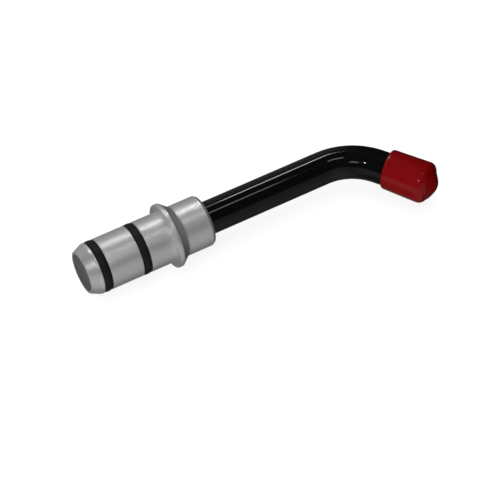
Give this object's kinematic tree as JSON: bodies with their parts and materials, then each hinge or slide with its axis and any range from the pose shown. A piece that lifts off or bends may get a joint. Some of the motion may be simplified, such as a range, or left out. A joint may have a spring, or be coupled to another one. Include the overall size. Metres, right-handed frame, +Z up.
{
  "type": "curing light guide",
  "caption": "Bent fibre-optic light guide for a dental curing lamp: turned plug with sealing rings and flange, black rod and pull-off tip cap.",
  "frame": {"origin": "centre of the polished light input face, on the plug's axis", "axes": "+X along the plug towards the tip, the rod bends towards -Y in the XY plane, +Z up, square to the plane of the bend"},
  "size_m": [0.0862, 0.0274, 0.0156],
  "materials": {
    "ferrule": "fine satin, turned",
    "o_ring": "matte black",
    "fibre_core": "polished fused fibre bundle, grey at its ends",
    "sheath": "high-gloss black",
    "epoxy": "dark cured adhesive",
    "tip_cap": "glossy dip-moulded red vinyl"
  },
  "bodies": {
    "guide": {"ferrule": "ferrule", "rear_o_ring": "o_ring", "front_o_ring": "o_ring", "fibre_core": "fibre_core", "black_sheath": "sheath", "epoxy_bond": "epoxy"},
    "cap": {"tip_cap": "tip_cap"}
  },
  "joints": [
    {"name": "cap_slide", "type": "slide", "parent": "guide", "child": "cap", "axis": [0.5592, -0.829, 0], "range_m": [0, 0.014]}
  ]
}
